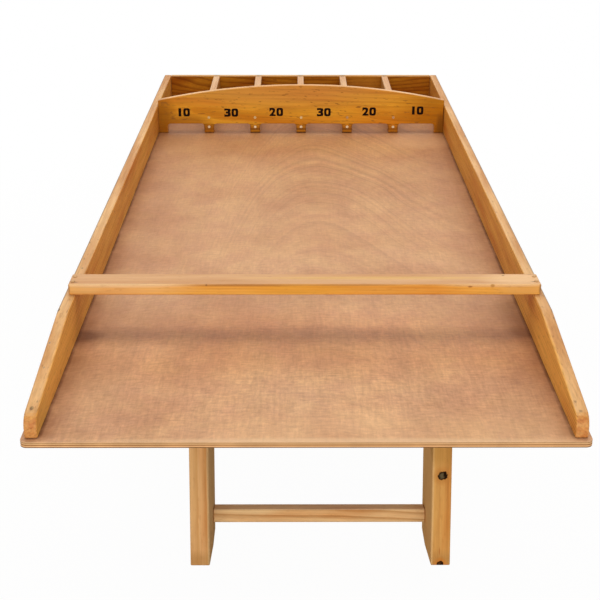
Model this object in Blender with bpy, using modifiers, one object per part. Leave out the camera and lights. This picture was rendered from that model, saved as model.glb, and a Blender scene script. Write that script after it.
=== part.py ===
# Dutch shuffleboard on two folding leg frames.
# Metres, +Z up. The player stands at -Y. The origin lies on the floor under the middle of the board.

from math import acos, atan2, cos, pi, radians, sin, sqrt

import bmesh
import bpy
from mathutils import Matrix, Vector

# Playing board
BOARD_LENGTH = 2.000
BOARD_WIDTH = 0.805
BOARD_THICKNESS = 0.009
BOARD_CORNER_RADIUS = 0.010
PLAY_HEIGHT = 0.525

# Side rails
RAIL_THICKNESS = 0.019
RAIL_HEIGHT = 0.072
RAIL_INSET = 0.0055
RAIL_SETBACK = 0.010
RAIL_NOSE_HEIGHT = 0.035
RAIL_NOSE_RADIUS = 0.022
RAIL_TAPER_LENGTH = 0.286

# Crossbar lying on the rails
CROSSBAR_DEPTH = 0.047
CROSSBAR_HEIGHT = 0.019
CROSSBAR_AFTER_TAPER = 0.058
CROSSBAR_END_INSET = 0.0075

# Back board, compartments and gate board
BACK_THICKNESS = 0.018
BACK_INSET = 0.002
COMPARTMENT_LENGTH = 0.339
DIVIDER_THICKNESS = 0.018
GATE_COUNT = 6
GATE_THICKNESS = 0.016
GATE_HEIGHT = 0.0245
GATE_FILLET = 0.007
POST_WIDTH = 0.026
END_POST_WIDTH = 0.0245
ARCH_END_HEIGHT = 0.087
ARCH_PEAK_HEIGHT = 0.127

# Folding leg frames
FRAME_WIDTH = 0.487
FRAME_OFFSET = 0.031
LEG_THICKNESS = 0.036
LEG_WIDTH = 0.160
LEG_LEAN = radians(14)
FOOT_FLAT = 0.058
FOLD_CLEARANCE = 0.003
FRONT_PIVOT_INSET = 0.580
REAR_PIVOT_INSET = 0.300
STRETCHER_HEIGHT = 0.027
STRETCHER_DEPTH = 0.030
STRETCHER_RISE = 0.055
STRETCHER_EDGE_MARGIN = 0.026

# Bearers and pivot blocks under the board
BEARER_THICKNESS = 0.022
BEARER_WIDTH = 0.170
BEARER_OVERHANG = 0.030
BLOCK_THICKNESS = 0.030
BLOCK_LENGTH = 0.090
BLOCK_BELOW_PIVOT = 0.028

# Fasteners
BOLT_DIAMETER = 0.008
BOLT_HEAD_DIAMETER = 0.019
BOLT_HEAD_HEIGHT = 0.005
BOLT_END = 0.003
WASHER_DIAMETER = 0.022
WASHER_THICKNESS = 0.0016
NUT_WIDTH = 0.013
NUT_HEIGHT = 0.0065
NUT_SIDES = 6
NAIL_DIAMETER = 0.0024
NAIL_HEAD_DIAMETER = 0.007
NAIL_HEAD_HEIGHT = 0.0012
NAIL_LENGTH = 0.038
GATE_NAIL_LOW = 0.0163
GATE_NAIL_HIGH = 0.0415
CROSSBAR_NAIL_EDGE = 0.013
CROSSBAR_NAIL_END = 0.0065
SCREW_DIAMETER = 0.004
SCREW_HEAD_DIAMETER = 0.008
SCREW_HEAD_HEIGHT = 0.003
SCREW_GRIP = 0.022
SCREW_CROWN = 0.6

# Clearances and finish
GAP = 0.0003
PIVOT_GAP = 0.0004
RUBBED_EDGE = 0.0025
EDGE = 0.0015
FINE_EDGE = 0.0010
SHARP_ANGLE = radians(40)
ROUND_SIDES = 12
RUBBED_STEPS = 3
ARCH_STEPS = 28
LEG_ARC_STEPS = 8
CORNER_STEPS = 5
NOSE_STEPS = 6
FILLET_STEPS = 3
DOME_STEPS = 3
WELD = 0.00001
FLAT_ANGLE = radians(0.1)

# Places that follow from the sizes above
FRONT_Y = -BOARD_LENGTH / 2
BACK_Y = BOARD_LENGTH / 2
BOARD_BOTTOM = PLAY_HEIGHT - BOARD_THICKNESS
DECK_Z = PLAY_HEIGHT + GAP
RAIL_OUTER_X = BOARD_WIDTH / 2 - RAIL_INSET
RAIL_X = RAIL_OUTER_X - RAIL_THICKNESS / 2
INNER_X = RAIL_OUTER_X - RAIL_THICKNESS
RAIL_TOP = DECK_Z + RAIL_HEIGHT
RAIL_FRONT_Y = FRONT_Y + RAIL_SETBACK
RAIL_BACK_Y = BACK_Y - BACK_INSET
TAPER_END_Y = RAIL_FRONT_Y + RAIL_TAPER_LENGTH

CROSSBAR_Y = TAPER_END_Y + CROSSBAR_AFTER_TAPER + CROSSBAR_DEPTH / 2
CROSSBAR_Z = RAIL_TOP + GAP + CROSSBAR_HEIGHT / 2
CROSSBAR_TOP = CROSSBAR_Z + CROSSBAR_HEIGHT / 2
CROSSBAR_HALF_LENGTH = RAIL_OUTER_X - CROSSBAR_END_INSET
CROSSBAR_NAIL_X = CROSSBAR_HALF_LENGTH - CROSSBAR_NAIL_END

BACK_BOARD_Y = RAIL_BACK_Y - BACK_THICKNESS / 2
BACK_FACE_Y = RAIL_BACK_Y - BACK_THICKNESS
GATE_BACK_Y = BACK_FACE_Y - COMPARTMENT_LENGTH
GATE_Y = GATE_BACK_Y - GATE_THICKNESS / 2
GATE_FRONT_Y = GATE_BACK_Y - GATE_THICKNESS
GATE_HALF_LENGTH = INNER_X - GAP
GATE_WIDTH = (2 * GATE_HALF_LENGTH - 2 * END_POST_WIDTH - (GATE_COUNT - 1) * POST_WIDTH) / GATE_COUNT
GATE_PITCH = GATE_WIDTH + POST_WIDTH
DIVIDER_LENGTH = COMPARTMENT_LENGTH - 2 * GAP
DIVIDER_Y = (GATE_BACK_Y + BACK_FACE_Y) / 2
POST_XS = [GATE_PITCH * (number - GATE_COUNT / 2) for number in range(1, GATE_COUNT)]

BEARER_Z = BOARD_BOTTOM - GAP - BEARER_THICKNESS / 2
BEARER_BOTTOM = BOARD_BOTTOM - GAP - BEARER_THICKNESS
PIVOT_DROP = LEG_WIDTH / 2 + FOLD_CLEARANCE
PIVOT_Z = BEARER_BOTTOM - PIVOT_DROP
FRONT_PIVOT_Y = FRONT_Y + FRONT_PIVOT_INSET
REAR_PIVOT_Y = BACK_Y - REAR_PIVOT_INSET
LEG_X = FRAME_WIDTH / 2 - LEG_THICKNESS / 2
LEG_INNER_X = FRAME_WIDTH / 2 - LEG_THICKNESS
BLOCK_X = LEG_INNER_X - PIVOT_GAP - BLOCK_THICKNESS / 2
BLOCK_INNER_X = BLOCK_X - BLOCK_THICKNESS / 2
BLOCK_TOP = BEARER_BOTTOM - GAP
BLOCK_BOTTOM = PIVOT_Z - BLOCK_BELOW_PIVOT
BOLT_GRIP = LEG_THICKNESS + PIVOT_GAP + BLOCK_THICKNESS
BOLT_LENGTH = BOLT_GRIP + 3 * GAP + WASHER_THICKNESS + NUT_HEIGHT + BOLT_END
STRETCHER_ACROSS = LEG_WIDTH / 2 - STRETCHER_EDGE_MARGIN - STRETCHER_DEPTH / 2
STRETCHER_DOWN = (PIVOT_Z - STRETCHER_RISE - STRETCHER_ACROSS * sin(LEG_LEAN)) / cos(LEG_LEAN)

# Turns an outline drawn in XY upright: into the YZ plane, or into the XZ plane.
SIDE_PLANE = Matrix(((0, 0, 1, 0), (1, 0, 0, 0), (0, 1, 0, 0), (0, 0, 0, 1)))
FRONT_PLANE = Matrix(((1, 0, 0, 0), (0, 0, -1, 0), (0, 1, 0, 0), (0, 0, 0, 1)))


def clear_scene():
    for thing in list(bpy.data.objects):
        bpy.data.objects.remove(thing, do_unlink=True)


def new_collection(name):
    collection = bpy.data.collections.new(name)
    bpy.context.scene.collection.children.link(collection)
    return collection


def give_finish(piece, colour, roughness, metallic):
    material = bpy.data.materials.new(piece.name + "_finish")
    material.use_nodes = True
    shader = material.node_tree.nodes["Principled BSDF"]
    shader.inputs["Base Color"].default_value = (*colour, 1)
    shader.inputs["Roughness"].default_value = roughness
    shader.inputs["Metallic"].default_value = metallic
    piece.data.materials.append(material)


def pine(piece):
    give_finish(piece, (0.62, 0.36, 0.14), 0.55, 0.0)


def golden_pine(piece):
    give_finish(piece, (0.55, 0.23, 0.045), 0.45, 0.0)


def plywood(piece):
    give_finish(piece, (0.52, 0.28, 0.15), 0.50, 0.0)


def steel(piece):
    give_finish(piece, (0.55, 0.54, 0.52), 0.35, 1.0)


def add_piece(name, mesh, place, finish, parent=None):
    piece = bpy.data.objects.new(name, mesh)
    parts.objects.link(piece)
    piece.matrix_basis = place if isinstance(place, Matrix) else Matrix.Translation(place)
    piece.parent = parent
    if not mesh.materials:
        finish(piece)
    return piece


def box_mesh(name, size):
    shape = bmesh.new()
    bmesh.ops.create_cube(shape, size=1)
    bmesh.ops.scale(shape, vec=size, verts=shape.verts)
    return finished_mesh(name, shape)


def finished_mesh(name, shape):
    mesh = bpy.data.meshes.new(name)
    shape.to_mesh(mesh)
    shape.free()
    return mesh


def evaluated_mesh(source):
    bpy.context.view_layer.update()
    mesh = bpy.data.meshes.new_from_object(source.evaluated_get(bpy.context.evaluated_depsgraph_get()))
    shape = bmesh.new()
    shape.from_mesh(mesh)
    bmesh.ops.remove_doubles(shape, verts=shape.verts, dist=WELD)
    bmesh.ops.dissolve_limit(shape, angle_limit=FLAT_ANGLE, verts=shape.verts, edges=shape.edges)
    shape.to_mesh(mesh)
    shape.free()
    bpy.data.objects.remove(source)
    return mesh


def outline_mesh(name, outline, thickness, plane):
    curve = bpy.data.curves.new(name, "CURVE")
    curve.dimensions = "2D"
    curve.fill_mode = "BOTH"
    curve.extrude = thickness / 2
    spline = curve.splines.new("POLY")
    spline.points.add(len(outline) - 1)
    for point, (across, up) in zip(spline.points, outline):
        point.co = (across, up, 0, 1)
    spline.use_cyclic_u = True
    drawing = bpy.data.objects.new(name, curve)
    parts.objects.link(drawing)
    mesh = evaluated_mesh(drawing)
    mesh.name = name
    mesh.transform(plane)
    return mesh


def turned_mesh(name, profile, closed=False):
    # A profile of radii and heights, from its top down the outer side, turned about Z.
    shape = bmesh.new()
    rim = [shape.verts.new((radius, 0, height)) for radius, height in profile]
    for upper, lower in zip(rim, rim[1:]):
        shape.edges.new((upper, lower))
    if closed:
        shape.edges.new((rim[-1], rim[0]))
    lathe = bpy.data.objects.new(name, finished_mesh(name, shape))
    parts.objects.link(lathe)
    screw = lathe.modifiers.new("turn", "SCREW")
    screw.steps = ROUND_SIDES
    screw.render_steps = ROUND_SIDES
    screw.use_merge_vertices = True
    screw.merge_threshold = WELD
    mesh = evaluated_mesh(lathe)
    mesh.shade_smooth()
    mesh.set_sharp_from_angle(angle=SHARP_ANGLE)
    return mesh


def arc(centre, radius, start, end, steps):
    points = []
    for step in range(steps + 1):
        angle = start + (end - start) * step / steps
        points.append((centre[0] + radius * cos(angle), centre[1] + radius * sin(angle)))
    return points


def along(start, direction):
    # The place of a piece drawn up the Z axis that starts at a point and runs along a direction.
    turn = Vector((0, 0, 1)).rotation_difference(Vector(direction)).to_matrix().to_4x4()
    return Matrix.Translation(start) @ turn


def soften(piece, width, segments=1):
    bevel = piece.modifiers.new("soft_edges", "BEVEL")
    bevel.width = width
    bevel.segments = segments
    bevel.limit_method = "ANGLE"
    bevel.angle_limit = SHARP_ANGLE


def drill(piece, diameter, bores, depth, solver="EXACT"):
    # Straight holes of one size. Each bore is a start point on a face and a direction.
    shape = bmesh.new()
    for start, direction in bores:
        place = along(start, direction) @ Matrix.Translation((0, 0, depth / 2))
        bmesh.ops.create_cone(shape, cap_ends=True, segments=ROUND_SIDES, radius1=diameter / 2,
                              radius2=diameter / 2, depth=depth + 2 * GAP, matrix=place)
    name = f"{piece.name}_cutter_{len(piece.modifiers)}"
    cutter = bpy.data.objects.new(name, finished_mesh(name, shape))
    cutters.objects.link(cutter)
    cutter.parent = piece.parent
    cutter.hide_render = True
    cutter.display_type = "WIRE"
    cut = piece.modifiers.new("holes", "BOOLEAN")
    cut.operation = "DIFFERENCE"
    cut.solver = solver
    cut.object = cutter


def fasten(single, diameter, length, drives, parent=None, solver="EXACT"):
    # Each drive is a name, the point under the head, the way the shank runs and the pieces that it holds.
    bores = {}
    for name, start, direction, held in drives:
        seat = along(Vector(start) - Vector(direction) * GAP, direction)
        add_piece(name, single, seat, steel, parent)
        for piece in held:
            bores.setdefault(piece.name, (piece, []))[1].append((start, direction))
    for piece, piece_bores in bores.values():
        drill(piece, diameter + 2 * GAP, piece_bores, length, solver)


def build_board():
    left, right = -BOARD_WIDTH / 2, BOARD_WIDTH / 2
    radius = BOARD_CORNER_RADIUS
    outline = [(right, BACK_Y), (left, BACK_Y)]
    outline += arc((left + radius, FRONT_Y + radius), radius, pi, 1.5 * pi, CORNER_STEPS)
    outline += arc((right - radius, FRONT_Y + radius), radius, 1.5 * pi, 2 * pi, CORNER_STEPS)
    mesh = outline_mesh("playing_board", outline, BOARD_THICKNESS, Matrix())
    return add_piece("playing_board", mesh, (0, 0, PLAY_HEIGHT - BOARD_THICKNESS / 2), plywood)


def rail_outline():
    # Side view. The taper runs down to a round nose and meets it without a corner.
    nose = Vector((RAIL_FRONT_Y + RAIL_NOSE_RADIUS, DECK_Z + RAIL_NOSE_HEIGHT - RAIL_NOSE_RADIUS))
    taper = Vector((TAPER_END_Y, RAIL_TOP)) - nose
    meeting_angle = atan2(taper.y, taper.x) + acos(RAIL_NOSE_RADIUS / taper.length)
    outline = [(RAIL_FRONT_Y, DECK_Z), (RAIL_BACK_Y, DECK_Z), (RAIL_BACK_Y, RAIL_TOP), (TAPER_END_Y, RAIL_TOP)]
    return outline + arc(nose, RAIL_NOSE_RADIUS, meeting_angle, pi, NOSE_STEPS)


def build_rail(name, side):
    mesh = outline_mesh(name, rail_outline(), RAIL_THICKNESS, SIDE_PLANE)
    rail = add_piece(name, mesh, (side * RAIL_X, 0, 0), pine)
    soften(rail, RUBBED_EDGE, RUBBED_STEPS)
    return rail


def build_crossbar():
    mesh = box_mesh("crossbar", (2 * CROSSBAR_HALF_LENGTH, CROSSBAR_DEPTH, CROSSBAR_HEIGHT))
    bar = add_piece("crossbar", mesh, (0, CROSSBAR_Y, CROSSBAR_Z), pine)
    soften(bar, RUBBED_EDGE, RUBBED_STEPS)
    return bar


def build_back_board():
    mesh = box_mesh("back_board", (2 * (INNER_X - GAP), BACK_THICKNESS, RAIL_HEIGHT))
    back = add_piece("back_board", mesh, (0, BACK_BOARD_Y, DECK_Z + RAIL_HEIGHT / 2), pine)
    soften(back, FINE_EDGE)
    return back


def build_divider(number, post_x):
    name = f"divider_{number}"
    mesh = box_mesh(name, (DIVIDER_THICKNESS, DIVIDER_LENGTH, RAIL_HEIGHT))
    divider = add_piece(name, mesh, (post_x, DIVIDER_Y, DECK_Z + RAIL_HEIGHT / 2), pine)
    soften(divider, FINE_EDGE)
    return divider


def gate_outline():
    # A comb of posts under an arched top, drawn about the middle of the playing surface.
    half = GATE_HALF_LENGTH
    rise = ARCH_PEAK_HEIGHT - ARCH_END_HEIGHT
    arch_radius = (half * half + rise * rise) / (2 * rise)
    arch_centre = (0, ARCH_PEAK_HEIGHT - arch_radius)
    end_angle = acos(half / arch_radius)
    outline = arc(arch_centre, arch_radius, end_angle, pi - end_angle, ARCH_STEPS)
    outline.append((-half, 0))
    gate_left = -half + END_POST_WIDTH
    for gate in range(GATE_COUNT):
        gate_right = gate_left + GATE_WIDTH
        outline.append((gate_left, 0))
        outline += arc((gate_left + GATE_FILLET, GATE_HEIGHT - GATE_FILLET), GATE_FILLET, pi, pi / 2,
                       FILLET_STEPS)
        outline += arc((gate_right - GATE_FILLET, GATE_HEIGHT - GATE_FILLET), GATE_FILLET, pi / 2, 0,
                       FILLET_STEPS)
        outline.append((gate_right, 0))
        gate_left = gate_right + POST_WIDTH
    outline.append((half, 0))
    return outline


def build_gate_board():
    mesh = outline_mesh("gate_board", gate_outline(), GATE_THICKNESS, FRONT_PLANE)
    gate = add_piece("gate_board", mesh, (0, GATE_Y, DECK_Z), golden_pine)
    soften(gate, FINE_EDGE)
    return gate


def leg_outline():
    # Side view about the pivot, foot towards -Y. The front half of the top is a level shoulder that stops
    # the leg against the bearer. The rear half is round, so that the leg can fold towards +Y. The foot is
    # sawn square to the leg, and its rear corner is cut level to stand on.
    half = LEG_WIDTH / 2
    top = PIVOT_DROP - GAP
    rear_up = sqrt(top * top - half * half)
    front_up = (top - half * sin(LEG_LEAN)) / cos(LEG_LEAN)
    flat_across = half - FOOT_FLAT * cos(LEG_LEAN)
    end_down = (PIVOT_Z - flat_across * sin(LEG_LEAN)) / cos(LEG_LEAN)
    rear_down = (PIVOT_Z - half * sin(LEG_LEAN)) / cos(LEG_LEAN)
    rear_across, rear_height = on_leg(-rear_up, half)
    outline = arc((0, 0), top, atan2(rear_height, rear_across), pi / 2, LEG_ARC_STEPS)
    outline.append(on_leg(-front_up, -half))
    outline.append(on_leg(end_down, -half))
    outline.append(on_leg(end_down, flat_across))
    outline.append(on_leg(rear_down, half))
    return outline


def on_leg(down, across):
    # A point in a leg's side view: down along the leg from its pivot, and across it towards +Y.
    return (across * cos(LEG_LEAN) - down * sin(LEG_LEAN), -across * sin(LEG_LEAN) - down * cos(LEG_LEAN))


def nail_mesh():
    shank, head = NAIL_DIAMETER / 2, NAIL_HEAD_DIAMETER / 2
    return turned_mesh("nail", [(0, NAIL_LENGTH), (shank, NAIL_LENGTH - NAIL_DIAMETER), (shank, 0), (head, 0),
                                (head, -NAIL_HEAD_HEIGHT), (0, -NAIL_HEAD_HEIGHT)])


def screw_mesh(length):
    shank, head = SCREW_DIAMETER / 2, SCREW_HEAD_DIAMETER / 2
    return turned_mesh("screw", [(0, length), (shank, length - SCREW_DIAMETER), (shank, 0), (head, 0),
                                 (SCREW_CROWN * head, -SCREW_HEAD_HEIGHT), (0, -SCREW_HEAD_HEIGHT)])


def bolt_mesh():
    shank, head = BOLT_DIAMETER / 2, BOLT_HEAD_DIAMETER / 2
    dome = arc((0, 0), 1, 0, -pi / 2, DOME_STEPS)
    profile = [(0, BOLT_LENGTH), (shank, BOLT_LENGTH), (shank, 0)]
    profile += [(head * across, BOLT_HEAD_HEIGHT * down) for across, down in dome[:-1]]
    return turned_mesh("bolt", profile + [(0, -BOLT_HEAD_HEIGHT)])


def washer_mesh():
    bore = BOLT_DIAMETER / 2 + GAP
    return turned_mesh("washer", [(bore, WASHER_THICKNESS), (WASHER_DIAMETER / 2, WASHER_THICKNESS),
                                  (WASHER_DIAMETER / 2, 0), (bore, 0)], closed=True)


def nut_mesh():
    shape = bmesh.new()
    corner = NUT_WIDTH / 2 / cos(pi / NUT_SIDES)
    bmesh.ops.create_cone(shape, cap_ends=True, segments=NUT_SIDES, radius1=corner, radius2=corner,
                          depth=NUT_HEIGHT, matrix=Matrix.Translation((0, 0, NUT_HEIGHT / 2)))
    nut = bpy.data.objects.new("nut", finished_mesh("nut", shape))
    parts.objects.link(nut)
    drill(nut, BOLT_DIAMETER + 2 * GAP, [((0, 0, 0), (0, 0, 1))], NUT_HEIGHT)
    cutter = nut.modifiers["holes"].object
    mesh = evaluated_mesh(nut)
    bpy.data.objects.remove(cutter)
    return mesh


def build_leg_frame(frame_name, pivot_y, facing):
    # Two planks and a stretcher on one axis. Facing is 1 with the feet towards -Y, and -1 the other way.
    axis = bpy.data.objects.new(f"{frame_name}_leg_axis", None)
    parts.objects.link(axis)
    axis.location = (FRAME_OFFSET, pivot_y, PIVOT_Z)
    axis.rotation_euler = (0, 0, 0 if facing > 0 else pi)
    stretcher_y, stretcher_z = on_leg(STRETCHER_DOWN, STRETCHER_ACROSS)

    name = f"{frame_name}_stretcher"
    mesh = box_mesh(name, (2 * (LEG_INNER_X - GAP), STRETCHER_DEPTH, STRETCHER_HEIGHT))
    stretcher = add_piece(name, mesh, (0, stretcher_y, stretcher_z), pine, axis)
    stretcher.rotation_euler = (-LEG_LEAN, 0, 0)
    soften(stretcher, EDGE)

    drives = []
    for side in (-1, 1):
        corner = f"{frame_name}_{'left' if side * facing < 0 else 'right'}"
        mesh = outline_mesh(f"{corner}_leg", leg_outline(), LEG_THICKNESS, SIDE_PLANE)
        leg = add_piece(f"{corner}_leg", mesh, (side * LEG_X, 0, 0), pine, axis)
        soften(leg, EDGE)
        outer_x = side * FRAME_WIDTH / 2
        inward = (-side, 0, 0)
        drill(leg, BOLT_DIAMETER + 2 * PIVOT_GAP, [((outer_x, 0, 0), inward)], LEG_THICKNESS)
        start = (outer_x, stretcher_y, stretcher_z)
        drives.append((f"{corner}_stretcher_screw", start, inward, (leg, stretcher)))
    length = LEG_THICKNESS + SCREW_GRIP
    fasten(screw_mesh(length), SCREW_DIAMETER, length, drives, axis)


def build_bearer(frame_name, pivot_y):
    name = f"{frame_name}_bearer"
    mesh = box_mesh(name, (FRAME_WIDTH + 2 * BEARER_OVERHANG, BEARER_WIDTH, BEARER_THICKNESS))
    bearer = add_piece(name, mesh, (FRAME_OFFSET, pivot_y, BEARER_Z), pine)
    soften(bearer, FINE_EDGE)
    return bearer


def build_block(corner, side, pivot_y):
    mesh = box_mesh(f"{corner}_pivot_block", (BLOCK_THICKNESS, BLOCK_LENGTH, BLOCK_TOP - BLOCK_BOTTOM))
    block_x = FRAME_OFFSET + side * BLOCK_X
    block = add_piece(f"{corner}_pivot_block", mesh, (block_x, pivot_y, (BLOCK_TOP + BLOCK_BOTTOM) / 2), pine)
    soften(block, FINE_EDGE)
    start = (block_x + side * BLOCK_THICKNESS / 2, pivot_y, PIVOT_Z)
    drill(block, BOLT_DIAMETER + 2 * GAP, [(start, (-side, 0, 0))], BLOCK_THICKNESS)


def build_pivots(frame_name, pivot_y):
    # What carries a leg frame: a bearer and two blocks under the board, and a bolt through each leg.
    build_bearer(frame_name, pivot_y)
    for side in (-1, 1):
        corner = f"{frame_name}_{'left' if side < 0 else 'right'}"
        build_block(corner, side, pivot_y)
        inward = (-side, 0, 0)
        head_x = FRAME_OFFSET + side * (FRAME_WIDTH / 2 + GAP)
        washer_x = FRAME_OFFSET + side * (BLOCK_INNER_X - GAP)
        nut_x = washer_x - side * (WASHER_THICKNESS + GAP)
        add_piece(f"{corner}_pivot_bolt", bolt_mesh(), along((head_x, pivot_y, PIVOT_Z), inward), steel)
        add_piece(f"{corner}_pivot_washer", washer_mesh(), along((washer_x, pivot_y, PIVOT_Z), inward), steel)
        add_piece(f"{corner}_pivot_nut", nut_mesh(), along((nut_x, pivot_y, PIVOT_Z), inward), steel)


def nail_crossbar(crossbar, rails):
    drives = []
    for side, rail in rails.items():
        for end, place in ((-1, "front"), (1, "rear")):
            name = f"crossbar_{'left' if side < 0 else 'right'}_{place}_nail"
            nail_y = CROSSBAR_Y + end * (CROSSBAR_DEPTH / 2 - CROSSBAR_NAIL_EDGE)
            start = (side * CROSSBAR_NAIL_X, nail_y, CROSSBAR_TOP)
            drives.append((name, start, (0, 0, -1), (crossbar, rail)))
    fasten(nail_mesh(), NAIL_DIAMETER, NAIL_LENGTH, drives)


def nail_gate_board(gate, dividers):
    drives = []
    for number, (post_x, divider) in enumerate(zip(POST_XS, dividers), 1):
        for height, place in ((GATE_NAIL_LOW, "low"), (GATE_NAIL_HIGH, "high")):
            start = (post_x, GATE_FRONT_Y, DECK_Z + height)
            drives.append((f"gate_nail_{number}_{place}", start, (0, 1, 0), (gate, divider)))
    # The gate tops of the comb lie on one line, which only this solver keeps closed.
    fasten(nail_mesh(), NAIL_DIAMETER, NAIL_LENGTH, drives, solver="MANIFOLD")


def main():
    build_board()
    rails = {-1: build_rail("left_rail", -1), 1: build_rail("right_rail", 1)}
    nail_crossbar(build_crossbar(), rails)
    build_back_board()
    dividers = [build_divider(number, post_x) for number, post_x in enumerate(POST_XS, 1)]
    nail_gate_board(build_gate_board(), dividers)
    for frame_name, pivot_y, facing in (("front", FRONT_PIVOT_Y, 1), ("rear", REAR_PIVOT_Y, -1)):
        build_pivots(frame_name, pivot_y)
        build_leg_frame(frame_name, pivot_y, facing)


clear_scene()
parts = new_collection("dutch_shuffleboard")
cutters = new_collection("cutters")
main()
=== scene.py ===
import bpy
import bmesh
from math import pi, radians
from mathutils import Matrix, Vector


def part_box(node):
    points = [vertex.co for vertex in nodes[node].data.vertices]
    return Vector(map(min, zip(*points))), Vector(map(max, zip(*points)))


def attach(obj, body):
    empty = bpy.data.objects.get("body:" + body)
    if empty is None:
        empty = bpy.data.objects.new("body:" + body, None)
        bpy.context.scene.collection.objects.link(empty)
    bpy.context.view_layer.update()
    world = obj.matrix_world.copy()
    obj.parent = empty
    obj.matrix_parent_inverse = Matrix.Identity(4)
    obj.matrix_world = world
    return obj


# Dutch shuffleboard: plywood bed, pine rails, arched gate board and folding plank legs
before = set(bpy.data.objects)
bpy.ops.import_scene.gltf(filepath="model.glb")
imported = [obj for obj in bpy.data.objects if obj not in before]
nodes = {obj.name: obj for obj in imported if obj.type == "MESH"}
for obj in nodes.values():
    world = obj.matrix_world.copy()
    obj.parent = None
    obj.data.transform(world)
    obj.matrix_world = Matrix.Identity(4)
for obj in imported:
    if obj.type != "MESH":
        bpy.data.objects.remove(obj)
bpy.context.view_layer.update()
mm = 0.001

# short words for the shader nodes used most
noise, ramp, mix = "ShaderNodeTexNoise", "ShaderNodeValToRGB", "ShaderNodeMix"
maths, vectors, mapping = "ShaderNodeMath", "ShaderNodeVectorMath", "ShaderNodeMapping"
coordinates, splitter, mapRange = "ShaderNodeTexCoord", "ShaderNodeSeparateXYZ", "ShaderNodeMapRange"
# mixes of colours: socket 0 is the share, 6 and 7 go in, and output 2 comes out
blend = {"data_type": "RGBA", "blend_type": "MIX"}
multiply = {"data_type": "RGBA", "blend_type": "MULTIPLY"}


def linear(hexColour):  # sRGB hex to linear RGBA
    channels = [int(hexColour[place:place + 2], 16) / 255 for place in (1, 3, 5)]
    return [c / 12.92 if c <= 0.04045 else ((c + 0.055) / 1.055) ** 2.4 for c in channels] + [1.0]


def addNode(tree, kind, inputs, out=0, stops=(), **settings):  # one node, set and linked; gives an output
    node = tree.nodes.new(kind)
    for name, value in settings.items():
        setattr(node, name, value)
    for socket, value in inputs.items():
        if isinstance(value, bpy.types.NodeSocket):
            tree.links.new(value, node.inputs[socket])
        else:
            node.inputs[socket].default_value = value
    for number, (place, value) in enumerate(stops):  # stops of a ramp: hex colours or grey levels
        elements = node.color_ramp.elements
        if number == 0:
            elements.remove(elements[1])
        element = elements.new(place) if number else elements[0]
        element.position = place
        element.color = linear(value) if isinstance(value, str) else (value, value, value, 1)
    return node.outputs[out]


def newMaterial(name):
    material = bpy.data.materials.new(name)
    material.use_nodes = True
    return material, material.node_tree, material.node_tree.nodes["Principled BSDF"]


def dress(node, material):
    nodes[node].data.materials.clear()
    nodes[node].data.materials.append(material)


# Pine, sawn and planed, under old satin varnish: growth rings round a pith line beside the plank give long
# bands on the faces, with blotchy end grain, fibres along the plank, small dark flecks, and edges that are
# rubbed or dirty
pineGrain = {
    "waverSize": 70 * mm, "toneSize": 34 * mm, "blotchSize": 9 * mm, "relief": 0.4 * mm,
    "waverAlong": 0.12, "fibresAlong": 0.022, "flecksAlong": 0.25,  # width over length
}


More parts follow.
